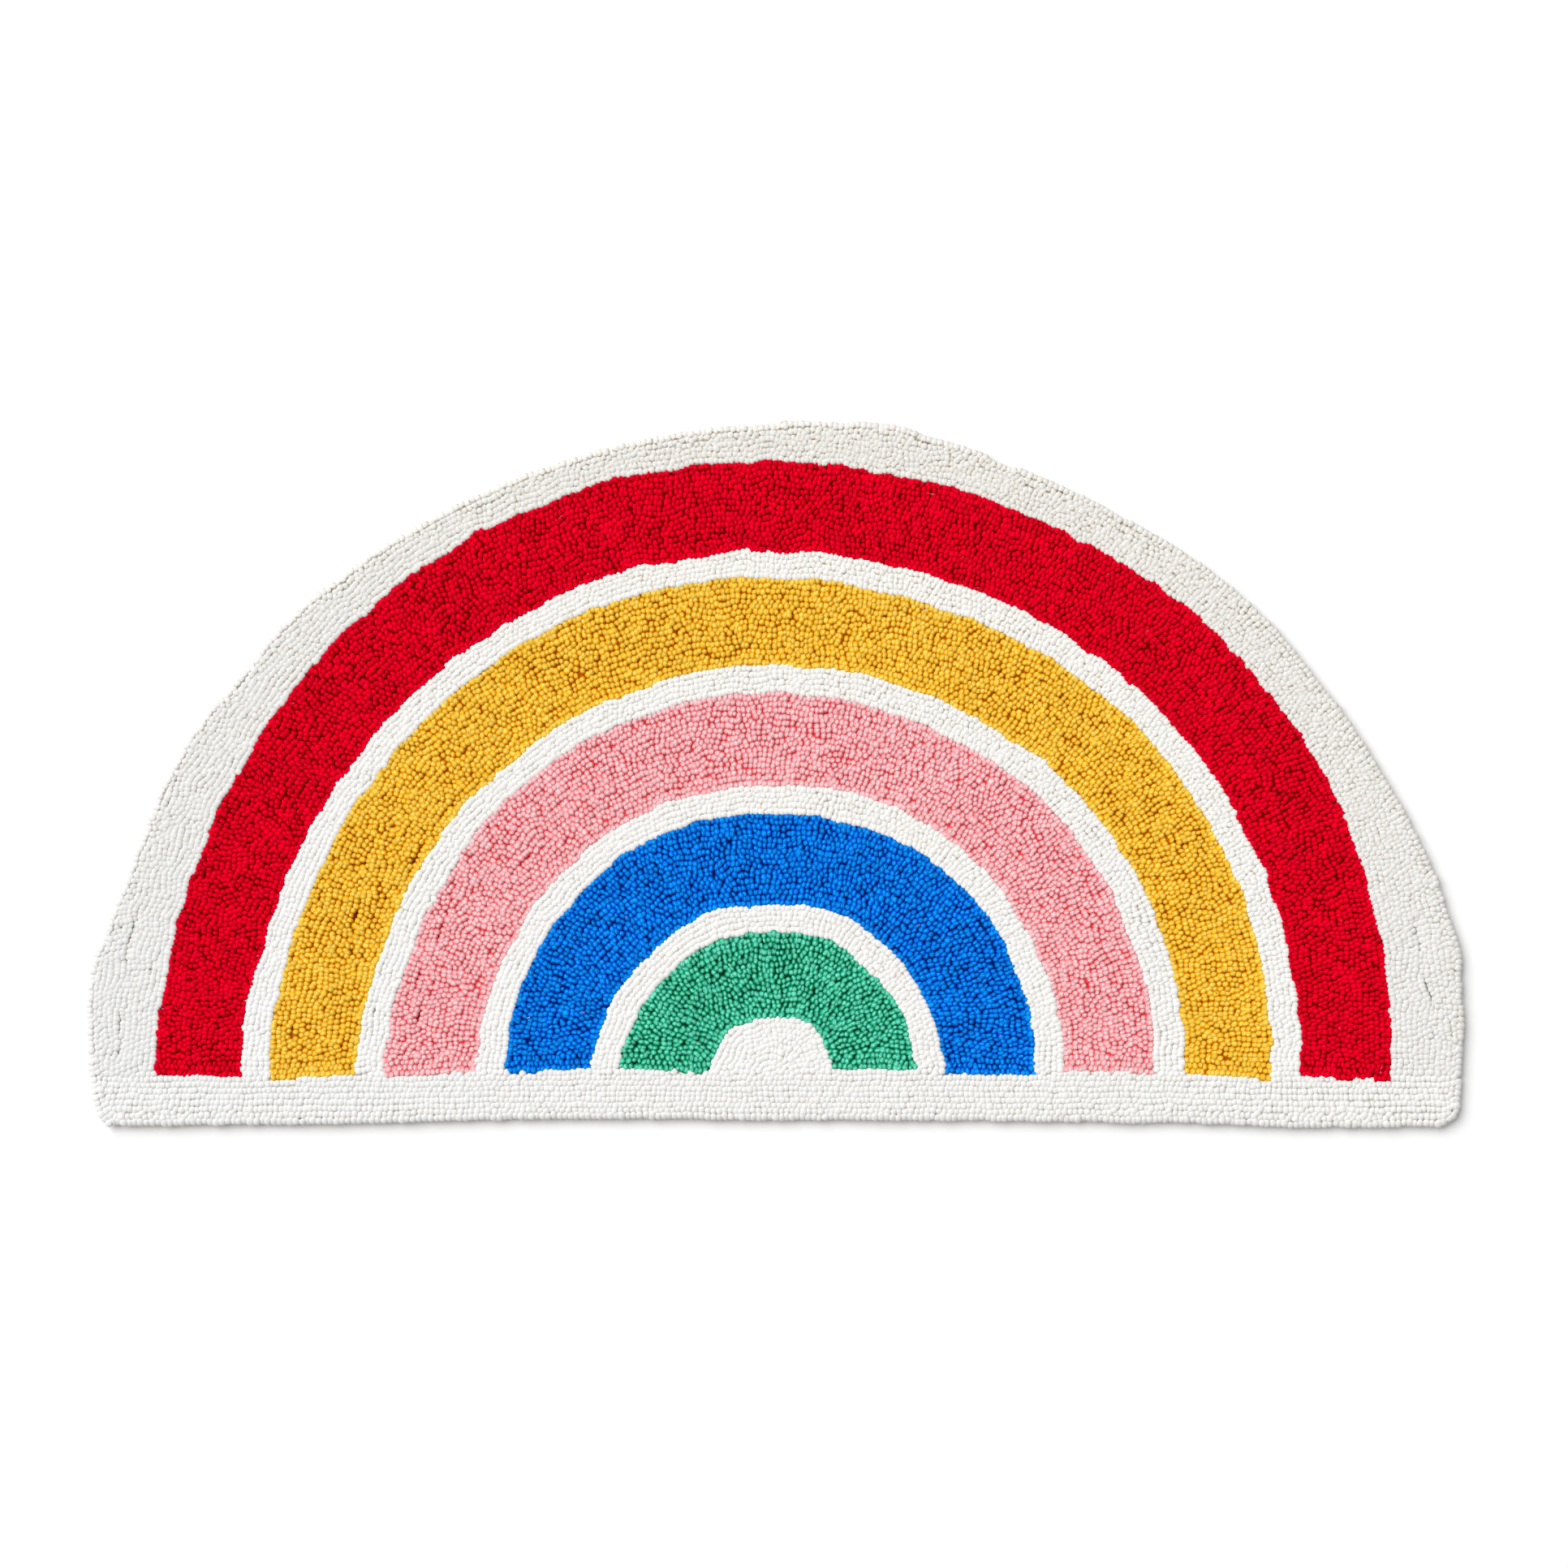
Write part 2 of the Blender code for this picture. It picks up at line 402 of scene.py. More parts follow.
def add_loop(x, y, heading, zone, gap=LEAST_GAP, edge=0.0):
    if not room_for(x, y, gap):
        return
    neighbours[int(x // 4), int(y // 4)].append((x, y))
    loops.append({"x": x, "y": y, "heading": heading, "zone": zone, "edge": edge})


def edge_rows():
    for number, row_inset in enumerate(EDGE_ROWS):
        line = []
        for x, y, heading in edge_places:
            inset = row_inset + SCALLOP * wander(x, y, SCALLOP_WAVE, 55.0)
            line.append((x - inset * math.sin(heading), y + inset * math.cos(heading)))
        for x, y, heading in walk(line, EDGE_STITCH, chance.uniform(0, EDGE_STITCH)):
            zone = "border" if y > 0 else "base strip"
            add_loop(x, y, heading, zone, edge=1.0 - number)


def row_reach(index, share, row, rows):
    """Reach of a row's line. Without a number of rows it follows the ring's inner edge instead."""
    low = ring_edge(index - 1, share)
    reach = low + (row + 0.5) * ROW
    if rows:
        reach = low + (ring_edge(index, share) - low) * (row + 0.5) / rows
    return reach + ROW_UNEVEN * wander(math.pi * share * reach, 3.1 * row, 24.0, 8.8)


def arc_places(index, rows, count, lowest):
    """The loops of all rows round one arch. Over a few rows the loops stand abreast, and in some
    places every second row is shifted by half a loop, as bricks are."""
    row = 0
    while row < count:
        middle = ring_edge(index - 1, 0.5) + row * ROW
        abreast = max(1, min(MOST_ABREAST, round(0.08 * middle / ROW), count - row))
        line = []
        for point in range(ARC_POINTS // 2 + 1):
            share = 2 * point / ARC_POINTS
            line.append(polar(row_reach(index, share, row + (abreast - 1) / 2, rows), share))
        pitch = STITCH / math.pi / math.hypot(*line[0])
        for x, y, _heading in walk(line, STITCH, chance.uniform(0, STITCH)):
            share = math.atan2(y, x) / math.pi
            bricks = min(max(0.5 + 1.6 * wander(x, y, 30.0, 13.0), 0.0), 1.0)
            for i in range(row, row + abreast):
                own_share = share + 0.5 * (i % 2) * bricks * pitch
                own_x, own_y = polar(row_reach(index, own_share, i, rows), own_share)
                if own_share < 1.0 and own_y > lowest(own_x):
                    yield own_x, own_y, math.pi * own_share + math.pi / 2
        row += abreast


def ring_rows(name):
    """The rows of one ring, and of its two feet if it is an arch."""
    index = RING_NAMES.index(name)
    inner_reach = smooth_value(RINGS[index - 1][1], 0.5) if index else 0.0
    rows = round((smooth_value(RINGS[index][1], 0.5) - inner_reach) / ROW)
    feet = FOOT_ROWS if name in FEET else 0
    for row in range(feet):
        for side in (-1, 1):
            inner, outer = ring_edge(index - 1, side < 0), ring_edge(index, side < 0)
            places = np.arange(inner + 0.5 * STITCH, outer - 0.3 * STITCH, STITCH)
            for x in side * (places + (row % 2) * 0.4 * STITCH):
                y = foot_line(x) + (row + 0.5) * ROW
                if zone_at(x - 1.4, y) == zone_at(x + 1.4, y) == name:
                    add_loop(x, y, 0.0, name)
    lowest = (lambda x: foot_line(x) + (feet + 0.1) * ROW) if feet else (lambda x: 0.45 * ROW)
    for x, y, heading in arc_places(index, rows, rows, lowest):
        add_loop(x, y, heading, name)


def border_rows():
    """Rows outside the red arch, as far as the two outline rows leave room."""
    index = RING_NAMES.index("border")
    for x, y, heading in arc_places(index, None, BORDER_ROWS, lambda x: 0.45 * ROW):
        if inside_by(x, y) > EDGE_ROWS[1] + BORDER_CLEAR * ROW:
            add_loop(x, y, heading, "border")


def hem_rows():
    """The straight rows of the base strip, and the short ones that fill up to the arches' feet."""
    for row in range(-2, HEM_ROWS):
        line = []
        for x in np.arange(-OUTLINE_REACH[-1], OUTLINE_REACH[0], 5.0):
            stray = HEM_UNEVEN * wander(x, 9.0 * row, 22.0, 4.4)
            line.append((x, -hem_depth(x) * (row + 0.5) / HEM_ROWS + stray))
        for x, y, heading in walk(line, STITCH, chance.uniform(0, STITCH)):
            clear = inside_by(x, y) > EDGE_ROWS[1] + HEM_CLEAR * ROW
            if clear and zone_at(x, y + 1.2) == "base strip":
                add_loop(x, y, heading, "base strip")


def fill():
    """Single loops wherever room is left."""
    for y in np.arange(-HEM_ROWS * 5.0, 470.0, 1.5):
        for x in np.arange(-470.0, 470.0, 1.5):
            if not room_for(x, y, FILL_GAP) or inside_by(x, y) < EDGE_ROWS[0]:
                continue
            zone = zone_at(x, y)
            heading = 0.0 if zone == "base strip" else math.atan2(y, x) + math.pi / 2
            add_loop(x, y, heading, zone)


def stream(zone, x, y):
    """The height of a hilly field that the loops drift round. It is flat at the area's edges."""
    index = RING_NAMES.index(zone)
    share = math.atan2(max(y, 0.0), x) / math.pi
    inner, outer = ring_edge(index - 1, share), ring_edge(index, share)
    across = (math.hypot(x, y) - inner) / (outer - inner)
    above_feet = min(max((y - CALM_FEET) / (CALM_END - CALM_FEET), 0.0), 1.0)
    depth = max(4 * across * (1 - across), 0.0) * above_feet
    return SWIRL_PUSH * min((outer - inner) / WIDE, 1.0) * depth * wander(x, y, SWIRL_WAVE, 27.0)


def swirl(loop):
    """Rows made by hand swirl. Drifting along contours turns the rows but keeps the loops as close."""
    zone = loop["zone"]
    if loop["edge"] or zone == "base strip":
        return
    for _half in range(2):
        x, y = loop["x"], loop["y"]
        loop["x"] += (stream(zone, x, y + 1) - stream(zone, x, y - 1)) / 4
        loop["y"] -= (stream(zone, x + 1, y) - stream(zone, x - 1, y)) / 4


def press_apart():
    """Packed loops press each other apart, so crowded places spread into the gaps beside them."""
    tree = kdtree.KDTree(len(loops))
    for i, loop in enumerate(loops):
        tree.insert((loop["x"], loop["y"], 0.0), i)
    tree.balance()
    for loop in loops:
        here = Vector((loop["x"], loop["y"], 0.0))
        push = Vector((0.0, 0.0, 0.0))
        for near, _i, away in tree.find_range(here, CROWDED):
            if away > 0.0:
                push += (here - near) * (PRESS * (CROWDED - away) / away)
        if loop["edge"] < 0.5:
            loop["x"] += push.x
            loop["y"] += push.y


edge_rows()
for ring in RING_NAMES[:-1]:
    ring_rows(ring)
border_rows()
hem_rows()
in_rows = len(loops)
fill()
print(in_rows, "loops in rows and", len(loops) - in_rows, "single ones")
for loop in loops:
    swirl(loop)
for _time in range(PRESSES):
    press_apart()

# %% [markdown]
# ## Making the pile uneven
#
# No two loops are pulled alike. The whole pile sways a little in smooth waves, each loop has its own
# size, turn and lean, and at the edge of the rug the loops roll over outwards. In some places two
# rows lean away from each other and a dark furrow opens between them. A table holds the furrows that
# the photograph shows, as bearing and distance from the rainbow's centre.
#
# The kind of loop is chosen here too: the strongly dyed yarns stand in slim loops with dark gaps, the
# off-white ground in broad flat ones that close up. The table of their measures is used further down.

# %% Sway, lean and furrows
SWAY, SWAY_WAVE = 0.9, 15.0
JITTER = 0.36
OWN_RISE, RISE_SWAY, RISE_WAVE = 0.24, 0.25, 9.0
OWN_LEAN, LEAN_SWAY, LEAN_WAVE = 0.10, 0.13, 20.0
OWN_TONE, TONE_SWAY, TONE_WAVE = 0.45, 0.35, 30.0
GIRTH_SPREAD = 0.09
EDGE_PLUMP = 0.14  # the loops along the edge of an arch are plumper, so that the colours close up
TURN_UNEVEN, TURN_WAVE = 17.0, 34.0  # degrees
NEAT = 0.55  # the off-white ground is hooked more evenly
TOP_UNEVEN, TOP_WAVE = 0.45, 60.0  # as the solid's top
EDGE_LEAN = math.radians(24)
SECOND_LEAN = math.radians(8)

# Columns: name; where it stands; half width and half length of the belly; its height; half width and
# half length of the shoulder; its height; how far the crown is off the middle.
LOOP_SHAPES = (
    ("plump loop", "deep dye", 2.20, 2.65, 5.1, 1.15, 1.62, 6.70, (0.0, 0.1)),
    ("long loop", "deep dye", 2.05, 2.80, 4.9, 1.00, 1.85, 6.65, (0.1, -0.3)),
    ("tipped loop", "deep dye", 2.30, 2.50, 5.2, 1.20, 1.40, 6.80, (-0.3, 0.35)),
    ("soft loop", "pale dye", 2.25, 2.70, 5.4, 1.25, 1.68, 6.70, (0.0, 0.15)),
    ("soft tipped loop", "pale dye", 2.32, 2.55, 5.4, 1.32, 1.50, 6.76, (-0.25, -0.3)),
    ("round loop", "ground", 2.75, 2.85, 6.2, 1.90, 2.00, 6.88, (0.0, 0.1)),
    ("low loop", "ground", 2.80, 2.75, 6.2, 1.95, 1.85, 6.84, (0.2, -0.2)),
    ("broad loop", "strip", 2.75, 2.70, 6.2, 2.00, 1.85, 6.88, (0.2, 0.0)),
    ("slanted loop", "strip", 2.65, 2.80, 6.1, 1.85, 1.95, 6.84, (-0.2, 0.2)),
)
PLACE_OF = {name: "deep dye" for name in ("red", "blue", "green")}
PLACE_OF.update({name: "pale dye" for name in ("mustard", "pink")})

WHITENESS = {"border": -0.9, "base strip": 0.1}  # the ground's tone
WHITE_GAP = 0.9  # its tone between the arches
YARN_OF = {
    "green arch": "green",
    "blue arch": "blue",
    "pink arch": "pink",
    "yellow arch": "mustard",
    "red arch": "red",
    "red wisps": "red",
    "pink wisps": "pink",
    "green wisps": "green",
}

# Columns: bearing in degrees and reach in mm of one end, the same of the other end, and how far the
# pile is pushed apart in mm.
FURROWS = (
    (140.0, 281.5, 142.5, 281.0, 0.9),
    (146.0, 279.0, 151.0, 277.0, 1.1),
    (151.0, 305.5, 153.0, 307.0, 0.8),
    (158.2, 298.5, 161.2, 296.5, 1.0),
    (162.0, 294.5, 166.0, 286.0, 0.5),
    (173.0, 322.0, 176.0, 322.5, 0.5),
    (149.0, 248.0, 152.0, 244.0, 0.9),
    (154.0, 242.5, 158.0, 240.0, 1.1),
    (163.0, 245.5, 166.0, 245.5, 0.9),
    (169.0, 239.5, 171.5, 239.0, 0.9),
    (138.0, 218.5, 140.5, 218.0, 0.8),
    (168.7, 268.0, 175.0, 269.5, 0.8),
    (166.0, 435.5, 170.0, 437.5, 1.1),
    (175.0, 434.5, 178.0, 434.0, 0.9),
    (11.0, 438.0, 13.5, 437.0, 1.2),
    (6.2, 440.5, 8.0, 438.0, 1.1),
    (174.0, 160.0, 177.0, 150.0, 0.9),
    (5.0, 118.0, 12.0, 122.0, 0.7),
)


FURROW_WIDTH, FURROW_END, FLOOR_WIDTH = 4.0, 3.0, 1.3  # mm
FURROW_DEPTH, FURROW_LEAN = 0.9, 0.12


def furrow_push(x, y):
    """How far the furrows push a loop, and how much they lower it."""
    push_x, push_y, sink = 0.0, 0.0, 0.0
    for start, start_reach, end, end_reach, push in FURROWS:
        ax, ay = polar(start_reach, start / 180)
        bx, by = polar(end_reach, end / 180)
        length = math.hypot(bx - ax, by - ay)
        along_x, along_y = (bx - ax) / length, (by - ay) / length
        along = (x - ax) * along_x + (y - ay) * along_y
        across = (y - ay) * along_x - (x - ax) * along_y
        beyond = max(-along, along - length, 0.0)
        near = math.exp(-((across / FURROW_WIDTH) ** 2) - (beyond / FURROW_END) ** 2)
        if near < 0.02:
            continue
        side = math.copysign(1.0, across)
        push_x -= along_y * side * push * near
        push_y += along_x * side * push * near
        sink += FURROW_DEPTH * near * push * math.exp(-((across / FLOOR_WIDTH) ** 2))
    return push_x, push_y, sink


def edge_nearness(zone, x, y):
    """From 0 well inside a coloured arch to 1 in the row along its edge."""
    if zone not in FEET:
        return 0.0
    index = RING_NAMES.index(zone)
    share = math.atan2(max(y, 0.0), x) / math.pi
    reach = math.hypot(x, y)
    away = min(reach - ring_edge(index - 1, share), ring_edge(index, share) - reach, y - foot_line(x))
    return min(max(1.5 - away / ROW, 0.0), 1.0)


def unsettle(loop):
    x, y, heading = loop["x"], loop["y"], loop["heading"]
    edge = loop["edge"]
    sway = SWAY * (1 - 0.8 * edge)
    care = 1.0 if loop["zone"] in YARN_OF else NEAT
    push_x, push_y, sink = (part * (0.4 + 0.6 * care) for part in furrow_push(x, y))
    loop["x"] += push_x + sway * wander(x, y, SWAY_WAVE, 1.7) + chance.gauss(0, JITTER * care)
    loop["y"] += push_y + sway * wander(x, y, SWAY_WAVE, 6.1) + chance.gauss(0, JITTER * care)
    own_rise = chance.gauss(0, OWN_RISE * care) + RISE_SWAY * care * wander(x, y, RISE_WAVE, 3.3)
    loop["rise"] = TOP_UNEVEN * wander(x, y, TOP_WAVE, 9.1) + own_rise - sink
    lean_x = care * (LEAN_SWAY * wander(x, y, LEAN_WAVE, 12.5) + chance.gauss(0, OWN_LEAN))
    lean_y = care * (LEAN_SWAY * wander(x, y, LEAN_WAVE, 17.5) + chance.gauss(0, OWN_LEAN))
    lean_x += FURROW_LEAN * push_x
    lean_y += FURROW_LEAN * push_y
    out = inside_by(x, y)
    if out < EDGE_ROWS[1] + 1.0:
        lean = math.tan(EDGE_LEAN if edge > 0.5 else SECOND_LEAN)
        i = edge_tree.find((x, y, 0.0))[1]
        lean_x += lean * math.sin(edge_places[i][2])
        lean_y -= lean * math.cos(edge_places[i][2])
    loop["lean"] = (lean_x, lean_y)
    turn = TURN_UNEVEN * care * chance.gauss(0, 1) + TURN_WAVE * wander(x, y, 26.0, 21.0)
    loop["heading"] = heading + math.radians(turn)
    girth = math.exp(GIRTH_SPREAD * care * (chance.gauss(0, 1) + wander(x, y, 7.0, 31.0)))
    girth += 0.05 * edge
    girth += EDGE_PLUMP * edge_nearness(loop["zone"], x, y)
    loop["size"] = (girth * math.exp(chance.gauss(0, 0.06)), girth * math.exp(chance.gauss(0, 0.07)), 1.0)
    tone = chance.gauss(0, OWN_TONE) + TONE_SWAY * wander(x, y, TONE_WAVE, 41.0)
    if loop["zone"] not in YARN_OF:
        tone = 0.3 * tone + WHITENESS.get(loop["zone"], WHITE_GAP)
    loop["tone"] = min(max(tone, -1.0), 1.0)
    place = PLACE_OF.get(YARN_OF.get(loop["zone"]), "ground")
    if edge > 0.5 or loop["zone"] == "base strip":
        place = "strip"
    loop["shape"] = chance.choice([i for i, row in enumerate(LOOP_SHAPES) if row[1] == place])


for loop in loops:
    unsettle(loop)
print("tallest rise", round(max(loop["rise"] for loop in loops), 2), "mm")

# %% [markdown]
# ## One loop
#
# From above a loop of soft yarn is a plump kernel, a little longer across its row than along it, on
# a foot that is pinched by the cloth. It could be a bent tube, but 28,000 bent tubes are far too many
# faces, and the pile hides all but the crown. So a loop is a small sphere of eight sides, whose rings
# are widened and lifted in edit mode. Two or three shapes for each kind of place are enough, because
# each copy also gets its own size, turn and lean.

# %% Modelling helpers
def deselect_all():
    if bpy.context.object and bpy.context.object.mode != "OBJECT":
        bpy.ops.object.mode_set(mode="OBJECT")
    bpy.ops.object.select_all(action="DESELECT")


def make_active(obj):
    deselect_all()
    obj.select_set(True)
    bpy.context.view_layer.objects.active = obj


def select_points(obj, wanted):
    """In edit mode, selects the points whose place the test wants."""
    mesh = bmesh.from_edit_mesh(obj.data)
    for point in mesh.verts:
        point.select_set(False)
    for point in mesh.verts:
        if wanted(point.co):
            point.select_set(True)
    mesh.select_flush_mode()
    bmesh.update_edit_mesh(obj.data)


# %% Nine low shapes of loop
LOOP_FOOT = 1.6 * MM  # where the pinched foot stands, inside the cloth
LOWEST_FOOT = 0.2 * MM
LOOP_HEIGHT = 7.3 * MM
BALL = 2.0 * MM


def shape_ring(obj, low, high, height, half_width, half_length):
    """Moves the ring of points between two heights to a new height and makes it oval."""
    select_points(obj, lambda co: low < co.z < high)
    ring = [v.co for v in bmesh.from_edit_mesh(obj.data).verts if v.select]
    reach = max(co.x for co in ring)
    old = ring[0].z
    widen = (half_width * MM / reach, half_length * MM / reach, 1.0)
    bpy.ops.transform.resize(value=widen, center_override=(0.0, 0.0, old))
    bpy.ops.transform.translate(value=(0.0, 0.0, height * MM - old))


def make_loop_shape(name, _place, width, length, belly, top_width, top_length, shoulder, off):
    deselect_all()
    bpy.ops.mesh.primitive_uv_sphere_add(segments=8, ring_count=3, radius=BALL, location=(0, 0, 0))
    loop = bpy.context.object
    loop.name = loop.data.name = name
    bpy.ops.object.mode_set(mode="EDIT")
    crown, foot = BALL * 0.9, -BALL * 0.9
    select_points(loop, lambda co: co.z > crown)
    bpy.ops.transform.translate(value=(off[0] * MM, off[1] * MM, LOOP_HEIGHT - BALL))
    shape_ring(loop, 0.0, crown, shoulder, top_width, top_length)
    select_points(loop, lambda co: co.z < foot)
    bpy.ops.transform.translate(value=(0.0, 0.0, BALL))
    shape_ring(loop, foot, 0.0, belly, width, length)
    bpy.ops.object.mode_set(mode="OBJECT")
    bpy.ops.object.shade_smooth()
    return loop


loop_shapes = [make_loop_shape(*row) for row in LOOP_SHAPES]
for shape in loop_shapes:
    print(shape.name, [round(side / MM, 2) for side in shape.dimensions], "mm")

# %% [markdown]
# ## Marks on the loop
#
# The yarn's material needs to know where on its loop a point is, however the loop is turned and
# wherever it stands: shade is painted into the colour towards the foot and light on the crown, and
# the plies run over the crown. So each point keeps its place on the upright loop, in millimetres, in
# an attribute named lie.
#
# For the baked model each loop also needs its own small square on the colour map. The loop is laid
# out there like a flower: crown in the middle, shoulder and belly round it, and the foot at the tips.

# %% Lie and map of a loop
MAP_RADIUS = {"crown": 0.0, "shoulder": 0.17, "belly": 0.36, "foot": 0.485}
HIGHEST_BELLY = 6.4 * MM


def level_of(co):
    if co.z < 0.5 * MM:
        return "foot"
    if co.z > LOOP_HEIGHT - 0.5 * MM:
        return "crown"
    return "belly" if co.z < HIGHEST_BELLY else "shoulder"


def mark_loop(loop):
    mesh = loop.data
    lie = mesh.attributes.new("lie", "FLOAT_VECTOR", "POINT")
    for point in mesh.vertices:
        lie.data[point.index].vector = point.co / MM
    while mesh.uv_layers:
        mesh.uv_layers.remove(mesh.uv_layers[0])
    layout = mesh.uv_layers.new(name="OFBake")
    for face in mesh.polygons:
        around = [mesh.vertices[i].co for i in face.vertices]
        around = [co for co in around if level_of(co) in ("belly", "shoulder")]
        middle = math.atan2(sum(co.y for co in around), sum(co.x for co in around))
        for corner in face.loop_indices:
            co = mesh.vertices[mesh.loops[corner].vertex_index].co
            level = level_of(co)
            turn = middle if level in ("foot", "crown") else math.atan2(co.y, co.x)
            reach = MAP_RADIUS[level]
            layout.data[corner].uv = (0.5 + reach * math.cos(turn), 0.5 + reach * math.sin(turn))


for shape in loop_shapes:
    mark_loop(shape)
print("marked", len(loop_shapes), "shapes")

# %% [markdown]
# ## Copying the loops
#
# Geometry Nodes sets a copy of a loop on every point of a cloud of points. Each point carries its
# loop's turn, size, tone and place on the map. Realize Instances then makes the copies real, and
# applying the modifier leaves one plain mesh for each colour area.

# %% The node tree that sets loops on points
def loop_setter():
    tree = bpy.data.node_groups.new("loops on the cloth", "GeometryNodeTree")
    tree.interface.new_socket(name="Geometry", in_out="INPUT", socket_type="NodeSocketGeometry")
    tree.interface.new_socket(name="Geometry", in_out="OUTPUT", socket_type="NodeSocketGeometry")

    def carried(name, kind):
        read = put(tree, "GeometryNodeInputNamedAttribute", {"data_type": kind}, Name=name)
        return read.outputs["Attribute"]

    entry = put(tree, "NodeGroupInput")
    choice = put(tree, "GeometryNodeGeometryToInstance")
    for shape in reversed(loop_shapes):  # the socket counts its links from the last one
        info = put(tree, "GeometryNodeObjectInfo", Object=shape)
        tree.links.new(info.outputs["Geometry"], choice.inputs["Geometry"])
    turned = put(tree, "FunctionNodeEulerToRotation", in_0=carried("turn", "FLOAT_VECTOR"))
    placed = put(tree, "GeometryNodeInstanceOnPoints", Points=entry.outputs["Geometry"],
                 Instance=choice.outputs["Instances"], Pick_Instance=True,
                 Instance_Index=carried("shape", "INT"), Rotation=turned.outputs["Rotation"],
                 Scale=carried("size", "FLOAT_VECTOR"))
    real = put(tree, "GeometryNodeRealizeInstances", Geometry=placed.outputs["Instances"])
    cell = put(tree, "ShaderNodeSeparateXYZ", Vector=carried("cell", "FLOAT_VECTOR"))
    small = vector_math(tree, "SCALE", carried("OFBake", "FLOAT_VECTOR"), scale=cell.outputs["Z"])
    there = vector_math(tree, "ADD", small.outputs["Vector"], carried("cell", "FLOAT_VECTOR"))
    stored = put(tree, "GeometryNodeStoreNamedAttribute", {"data_type": "FLOAT2", "domain": "CORNER"},
                 Geometry=real.outputs["Geometry"], Name="OFBake", Value=there.outputs["Vector"])
    leave = put(tree, "NodeGroupOutput", Geometry=stored.outputs["Geometry"])
    return leave.id_data


setter = loop_setter()
print("nodes that set the loops:", len(setter.nodes))


# %% [markdown]
# ## Wisps of yarn
#
# Scraps of yarn that the shears left lie on the pile here and there. The photograph shows the larger
# ones, which the table holds, and a few more short ones are strewn over the arches by chance.

# %% Wisps, and one mesh of loops for each area
# Columns: place of the middle, heading in degrees, length in mm, piece
WISPS = (
    (102.9, 386.4, -12.0, 5.6, "pink wisps"),
    (402.8, 3.2, 62.0, 4.0, "pink wisps"),
    (404.2, 1.2, 150.0, 2.8, "pink wisps"),
    (99.2, 308.8, 80.0, 4.8, "white wisps"),
    (-163.8, 37.7, 30.0, 3.6, "white wisps"),
    (-142.1, 370.2, 40.0, 3.4, "pink wisps"),
    (247.3, 294.8, 15.0, 3.0, "pink wisps"),
    (377.3, 101.1, 100.0, 3.0, "pink wisps"),
    (100.1, 308.0, 20.0, 3.0, "white wisps"),
    (-210.0, 173.1, 120.0, 3.6, "red wisps"),
    (-425.5, 96.4, 84.0, 6.4, "green wisps"),
    (-414.9, 70.1, 40.0, 2.6, "green wisps"),
    (428.9, 37.7, 70.0, 2.6, "green wisps"),
)
WISP_GIRTH, WISP_LEAN, WISP_RISE = 0.10, 9.0, 7.1
SPECKS = 22
CROWN_SHARE = 0.8  # the height on a loop that stands over the loop's planned place


def loop_turn(loop):
    """The loop's heading, with its axis tipped the way it leans."""
    lean = Vector((*loop["lean"], 1.0))
    tip = Vector((0.0, 0.0, 1.0)).rotation_difference(lean)
    return (tip @ Quaternion((0.0, 0.0, 1.0), loop["heading"])).to_euler()


def add_wisp(x, y, heading, length, zone):
    """A stray wisp of yarn that lies on the pile: a loop drawn out thin and laid down."""
    heading = math.radians(heading)
    along = Vector((math.cos(heading), math.sin(heading)))
    wisp = {"x": x + along.x * length / 2, "y": y + along.y * length / 2, "zone": zone, "heading": 0.0}
    wisp["lean"] = tuple(along * WISP_LEAN)
    wisp["rise"] = WISP_RISE
    wisp["size"] = (WISP_GIRTH, WISP_GIRTH, length * MM / LOOP_HEIGHT)
    wisp["tone"], wisp["shape"] = 0.0, 1
    loops.append(wisp)


def loop_stand(loop):
    """Where the loop's foot stands, so that its crown comes where the plan has it."""
    lean = Vector((*loop["lean"], 1.0)).normalized()
    crown = Vector((loop["x"], loop["y"], 0.0)) * MM + RAINBOW
    stand = crown - Vector((lean.x, lean.y, 0.0)) * LOOP_HEIGHT * loop["size"][2] * CROWN_SHARE
    stand.z = max(LOOP_FOOT + loop["rise"] * MM, LOWEST_FOOT)
    return stand


def make_pile(name, members):
    mesh = bpy.data.meshes.new(name)
    mesh.vertices.add(len(members))
    mesh.vertices.foreach_set("co", [value for loop in members for value in loop_stand(loop)])
    side = math.ceil(math.sqrt(len(members)))
    cells = [(i % side / side, i // side / side, 1 / side) for i in range(len(members))]
    columns = {
        "turn": ("FLOAT_VECTOR", "vector", [tuple(loop_turn(loop)) for loop in members]),
        "size": ("FLOAT_VECTOR", "vector", [loop["size"] for loop in members]),
        "cell": ("FLOAT_VECTOR", "vector", cells),
        "tone": ("FLOAT", "value", [loop["tone"] for loop in members]),
        "shape": ("INT", "value", [loop["shape"] for loop in members]),
    }
    for column, (kind, field, values) in columns.items():
        attribute = mesh.attributes.new(column, kind, "POINT")
        attribute.data.foreach_set(field, np.array(values).ravel())
    pile = bpy.data.objects.new(name, mesh)
    bpy.context.scene.collection.objects.link(pile)
    make_active(pile)
    pile.modifiers.new("loops", "NODES").node_group = setter
    bpy.ops.object.modifier_apply(modifier="loops")
    for column in ("turn", "size", "cell", "shape"):
        spare = pile.data.attributes.get(column)
        if spare:
            pile.data.attributes.remove(spare)
    return pile


